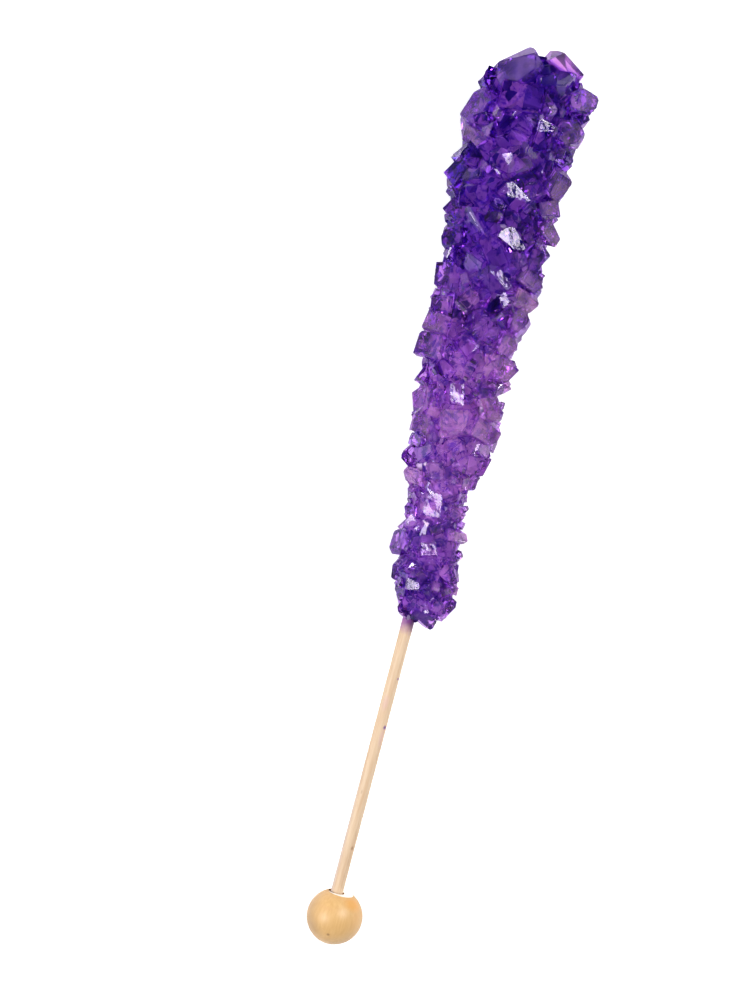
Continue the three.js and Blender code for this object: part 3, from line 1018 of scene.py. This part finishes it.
def crystal_material():
    """Violet sugar, clear or a little cloudy from crystal to crystal."""
    nodes = Nodes("violet_sugar_crystal")
    shader = nodes.shader.inputs
    place = nodes.coordinates()
    billows = nodes.noise(place, scale=0.35, detail=1.0)
    billows = nodes.map_range(billows, (0.35, 0.65), (0.4, 1.6))
    cloud = nodes.math("MULTIPLY", nodes.attribute("cloud"), billows)
    tone = nodes.attribute("tone")
    sugar = nodes.mix(cloud, nodes.ramp(tone, CLEAR_TONES), nodes.ramp(tone, CLOUDY_TONES))
    # Painted shade: deeper between the crystals the colour is darker, less so in the candy's lower
    # half.
    deep = nodes.ramp(nodes.attribute("depth"), CREVICE_SHADE_COLOURS)
    deep = nodes.mix(nodes.grey_ramp(nodes.along_candy(place), CREVICE_SHADE_FADING), deep, WHITE)
    colour = nodes.tint(sugar, deep)
    # Painted shade: the worn edges are darkened in patches, as dark lines along the crystals'
    # edges.
    patchy = nodes.map_range(nodes.noise(place, scale=0.8, detail=2.0), (0.38, 0.6), (0.15, 1.0))
    worn = nodes.math("MULTIPLY", nodes.attribute("edge"), patchy)
    nodes.link(nodes.mix(worn, colour, WORN_EDGE_SHADE, "MULTIPLY"), shader["Base Color"])
    frost = nodes.map_range(cloud, (0.0, 1.0), (0.0, 0.12))
    wear = nodes.map_range(nodes.noise(place, scale=0.6), (0.35, 0.7), (0.01, 0.06))
    nodes.link(nodes.math("ADD", frost, wear), shader["Roughness"])
    nodes.link(nodes.map_range(cloud, (0.0, 1.0), (1.0, 0.7)), shader["Transmission Weight"])
    shader["IOR"].default_value = SUGAR_IOR
    # A film of dyed syrup. It adds no gloss of its own, but tints what is seen at a shallow angle.
    shader["Coat Weight"].default_value = 1
    shader["Coat Roughness"].default_value = 0
    shader["Coat IOR"].default_value = FILM_IOR
    shader["Coat Tint"].default_value = (*FILM_TINT, 1)
    nodes.bump(nodes.noise(place, scale=0.45, detail=2.0), strength=0.25, distance=0.25)
    volume = nodes.add("ShaderNodeVolumeAbsorption")
    volume.inputs["Color"].default_value = (*SUGAR_ABSORPTION, 1)
    volume.inputs["Density"].default_value = SUGAR_DENSITY
    nodes.link(volume.outputs[0], nodes.output.inputs["Volume"])
    return nodes.material


def core_material():
    """The cloudy sugar inside, seen through the crystals."""
    nodes = Nodes("violet_sugar_core")
    place = nodes.coordinates()
    along = nodes.along_candy(place)
    # Each core crystal's own tone, and painted shade in the crevices where the spindle shows.
    tones_and_crevice_shade = nodes.ramp(nodes.attribute("shade"), CORE_TONES_AND_CREVICE_SHADE)
    tones_and_crevice_shade = nodes.mix(nodes.grey_ramp(along, SHADE_FADING), tones_and_crevice_shade, WHITE)
    patches = nodes.noise(place, scale=0.5, detail=3.0, roughness=0.6)
    colour = nodes.tint(nodes.ramp(along, CORE_COLOURS), tones_and_crevice_shade)
    colour = nodes.tint(colour, nodes.ramp(patches, CORE_PATCHES))
    nodes.link(colour, nodes.shader.inputs["Base Color"])
    nodes.shader.inputs["Roughness"].default_value = 0.5
    return nodes.material


def wood_grain(nodes, place, pale, dark):
    """Fine grain along the dowel's direction, as a height and as a colour."""
    stretch = nodes.add("ShaderNodeMapping")
    stretch.inputs["Scale"].default_value = (2.2, 0.12, 2.2)
    nodes.link(place, stretch.inputs["Vector"])
    grain = nodes.noise(stretch.outputs[0], scale=1.0, detail=5.0, roughness=0.6)
    return grain, nodes.ramp(grain, [(0.3, dark), (0.62, pale)])


def mark(nodes, place, colour, centre, reach, stain_or_shade, strength):
    """The colour with a soft patch mixed in, which is gone at its reach along each axis. The lists
    give stains and patches of painted shade.
    """
    away = nodes.add("ShaderNodeVectorMath", operation="SUBTRACT")
    away.inputs[1].default_value = centre
    nodes.link(place, away.inputs[0])
    share = nodes.add("ShaderNodeVectorMath", operation="DIVIDE")
    share.inputs[1].default_value = reach
    nodes.link(away.outputs[0], share.inputs[0])
    length = nodes.add("ShaderNodeVectorMath", operation="LENGTH")
    nodes.link(share.outputs[0], length.inputs[0])
    factor = nodes.map_range(length.outputs["Value"], (MARK_MIDDLE, 1.0), (strength, 0.0))
    return nodes.mix(factor, colour, stain_or_shade)


def stick_material():
    nodes = Nodes("birch_dowel")
    place = nodes.coordinates()
    grain, colour = wood_grain(nodes, place, STICK_PALE, STICK_DARK)
    for centre, reach, stain_or_shade, strength in STICK_MARKS:
        colour = mark(nodes, place, colour, centre, reach, stain_or_shade, strength)
    # The dye has soaked into the wood below the candy, up to a ragged edge.
    along = nodes.add("ShaderNodeMath", operation="MULTIPLY_ADD")
    nodes.link(nodes.noise(place, scale=1.1), along.inputs[0])
    along.inputs[1].default_value = SOAKED_RAGGED
    nodes.link(nodes.axis(place, 1), along.inputs[2])
    start, end = SOAKED_REACH
    soaked = nodes.map_range(along.outputs[0], (CANDY_BOTTOM + start, CANDY_BOTTOM + end))
    colour = nodes.mix(soaked, colour, STICK_SOAKED)
    nodes.link(colour, nodes.shader.inputs["Base Color"])
    nodes.shader.inputs["Roughness"].default_value = 0.55
    nodes.bump(grain, strength=0.3, distance=0.1)
    return nodes.material


def ball_material():
    nodes = Nodes("birch_ball")
    place = nodes.coordinates()
    grain, colour = wood_grain(nodes, place, BALL_PALE, BALL_DARK)
    # Painted shade: darker low on the ball's sides, lighter towards its top.
    height = nodes.map_range(nodes.axis(place, 2), BALL_HEIGHTS)
    colour = nodes.tint(colour, nodes.ramp(height, BALL_SHADE_BY_HEIGHT))
    # Stains, and the patches of painted shade on the ball's left.
    for centre, reach, stain_or_shade, strength in BALL_MARKS_AND_SHADE:
        colour = mark(nodes, place, colour, centre, reach, stain_or_shade, strength)
    # The sawn flat is the palest: fresh-cut wood, painted near white as a painted highlight where
    # the lamps light it.
    mouth_normal = Matrix.Rotation(MOUTH_TURN, 3, "X") @ Vector((0, 1, 0))
    flat = math.sqrt(BALL_DIAMETER ** 2 - MOUTH_DIAMETER ** 2) / 2 + BALL_CENTRE.dot(mouth_normal)
    towards_mouth = nodes.add("ShaderNodeVectorMath", operation="DOT_PRODUCT")
    nodes.link(place, towards_mouth.inputs[0])
    towards_mouth.inputs[1].default_value = mouth_normal
    sawn = nodes.map_range(towards_mouth.outputs["Value"], (flat - 0.06, flat - 0.02))
    colour = nodes.mix(sawn, colour, BALL_SAWN_AND_LIT)
    nodes.link(colour, nodes.shader.inputs["Base Color"])
    nodes.shader.inputs["Roughness"].default_value = 0.45
    nodes.bump(grain, strength=0.1, distance=0.1)
    return nodes.material


# ---- Stage, light and camera ----
def add_floor():
    """A pale table, which glows a little so that it stays white in the lamps' shadows."""
    mesh = bpy.data.meshes.new("floor")
    half = FLOOR_SIDE / 2
    corners = [(-half, -half, 0), (half, -half, 0), (half, half, 0), (-half, half, 0)]
    mesh.from_pydata(corners, [], [(0, 1, 2, 3)])
    floor = bpy.data.objects.new("floor", mesh)
    bpy.context.scene.collection.objects.link(floor)
    nodes = Nodes("white_table")
    shader = nodes.shader.inputs
    shader["Base Color"].default_value = (FLOOR_GREY, FLOOR_GREY, FLOOR_GREY, 1)
    shader["Roughness"].default_value = 0.9
    shader["Emission Color"].default_value = (*WHITE, 1)
    shader["Emission Strength"].default_value = FLOOR_GLOW
    mesh.materials.append(nodes.material)
    floor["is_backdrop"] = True


def add_world():
    """White towards the horizon and dim overhead."""
    world = bpy.data.worlds.new("studio")
    bpy.context.scene.world = world
    world.use_nodes = True
    tree = world.node_tree
    background = tree.nodes["Background"]
    place = tree.nodes.new("ShaderNodeTexCoord")
    split = tree.nodes.new("ShaderNodeSeparateXYZ")
    ramp = tree.nodes.new("ShaderNodeValToRGB")
    for element, (height, colour) in zip(ramp.color_ramp.elements, (HORIZON, OVERHEAD)):
        element.position = height
        element.color = (*colour, 1)
    tree.links.new(place.outputs["Generated"], split.inputs[0])
    tree.links.new(split.outputs["Z"], ramp.inputs["Fac"])
    tree.links.new(ramp.outputs["Color"], background.inputs["Color"])


def camera_place(laid):
    return laid @ (AIM * MM) + Vector((0, 0, CAMERA_HEIGHT))


def lamp_place(laid, direction):
    """A lamp's place for its direction in the picture's axes."""
    picture_axes = Matrix.Rotation(CAMERA_TURN, 3, "Z")
    away = picture_axes @ Vector(direction).normalized() * LAMP_DISTANCE
    return laid @ (LAMP_TARGET * MM) + away


def add_lamp(name, direction, side, radiance, laid):
    """A square softbox facing the candy, brightest at its middle."""
    light = bpy.data.lights.new(name, "AREA")
    light.shape = "SQUARE"
    light.size = side
    light.energy = radiance * math.pi * side * side
    light.use_nodes = True
    tree = light.node_tree
    place = tree.nodes.new("ShaderNodeNewGeometry")
    away = tree.nodes.new("ShaderNodeVectorMath")
    away.operation = "DISTANCE"
    away.inputs[1].default_value = (0.5, 0.5, 0)  # the softbox's middle
    fade = tree.nodes.new("ShaderNodeMapRange")
    fade.interpolation_type = "SMOOTHSTEP"
    fade.inputs["From Min"].default_value = SOFTBOX_FADE[0]
    fade.inputs["From Max"].default_value = SOFTBOX_FADE[1]
    fade.inputs["To Min"].default_value = 1.0
    fade.inputs["To Max"].default_value = 0.0
    tree.links.new(place.outputs["Parametric"], away.inputs[0])
    tree.links.new(away.outputs["Value"], fade.inputs["Value"])
    tree.links.new(fade.outputs["Result"], tree.nodes["Emission"].inputs["Strength"])
    lamp = bpy.data.objects.new(name, light)
    bpy.context.scene.collection.objects.link(lamp)
    lamp.location = lamp_place(laid, direction)
    back = Matrix.Rotation(CAMERA_TURN, 3, "Z") @ Vector(direction)
    lamp.rotation_euler = back.to_track_quat("Z", "Y").to_euler()


def add_camera(laid):
    """Looks straight down, with the stick leaning as shown."""
    data = bpy.data.cameras.new("camera")
    data.sensor_width = SENSOR_WIDTH
    data.lens = SENSOR_WIDTH * CAMERA_HEIGHT / FRAME_HEIGHT
    camera = bpy.data.objects.new("camera", data)
    bpy.context.scene.collection.objects.link(camera)
    camera.location = camera_place(laid)
    camera.rotation_euler = (0, 0, CAMERA_TURN)
    bpy.context.scene.camera = camera


def add_candy(laid):
    """The clear shell of fused crystals, and the cloudy core inside it."""
    large = grow_large()
    small = grow_small()
    print("crystals:", len(large), "large and", len(small), "small")
    sight = Sight(laid)
    draw = Draw(SEED + 2)
    blocks = [crystal_mesh(crystal, draw, sight, True) for crystal in large]
    blocks += [crystal_mesh(crystal, draw, sight, False) for crystal in small]
    shell = combine("candy_crystals", spindle_mesh(SHELL_SHARES), blocks, [floor_mesh(laid)])
    keep_largest_part(shell)
    mark_depth(shell)
    add_piece("candy_crystals", shell, crystal_material(), "rock_candy", laid)

    draw = Draw(SEED + 4)
    blocks = [core_crystal_mesh(crystal, draw) for crystal in grow_core()]
    core = combine("candy_core", spindle_mesh(CORE_SHARES), blocks, [floor_mesh(laid)])
    keep_largest_part(core)
    add_piece("candy_core", core, core_material(), "rock_candy", laid)


def main():
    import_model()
    cad_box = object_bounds()
    laid = laid_matrix()

    add_candy(laid)
    add_piece("dowel", stick_mesh(), stick_material(), "stick", laid)
    ball = ball_mesh(floor_mesh(laid))
    add_piece("wooden_ball", ball, ball_material(), "ball", laid)

    add_floor()
    add_world()
    for name, settings in LAMPS.items():
        add_lamp(name, *settings, laid)
    add_camera(laid)

    bpy.context.scene.view_settings.view_transform = "Standard"

    for box in (cad_box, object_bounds()):
        json.dumps([list(corner) for corner in box]) + "\n"


main()
